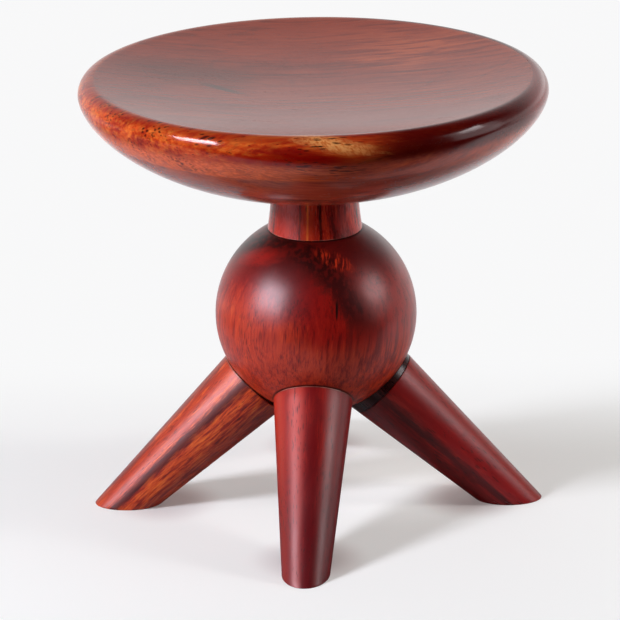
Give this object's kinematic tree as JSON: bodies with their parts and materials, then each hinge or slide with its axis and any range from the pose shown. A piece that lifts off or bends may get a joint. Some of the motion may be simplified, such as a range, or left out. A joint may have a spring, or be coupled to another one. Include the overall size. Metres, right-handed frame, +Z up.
{
  "type": "wooden stool",
  "caption": "Low round stool of lacquered red-brown hardwood: a dished seat on a short neck and a ball, carried by four thick splayed legs, one of them with a dark collar.",
  "frame": {"origin": "on the floor, on the upright axis that the seat, the neck and the ball share", "axes": "+Z up, -Y towards the front leg, +X to the right as seen from the front"},
  "size_m": [0.461, 0.461, 0.4497],
  "materials": {
    "seat_wood": "gloss lacquer on red-brown hardwood",
    "neck_wood": "gloss lacquer on dark red-brown hardwood",
    "ball_wood": "gloss lacquer on red-brown hardwood",
    "leg_wood": "gloss lacquer on red-brown hardwood",
    "collar_wood": "gloss lacquer on near-black red-brown hardwood"
  },
  "bodies": {
    "root": {"seat": "seat_wood", "neck": "neck_wood", "ball": "ball_wood", "leg_front": "leg_wood", "leg_right": "leg_wood", "leg_rear": "leg_wood", "leg_left": "leg_wood", "collar_right": "collar_wood"}
  },
  "joints": []
}
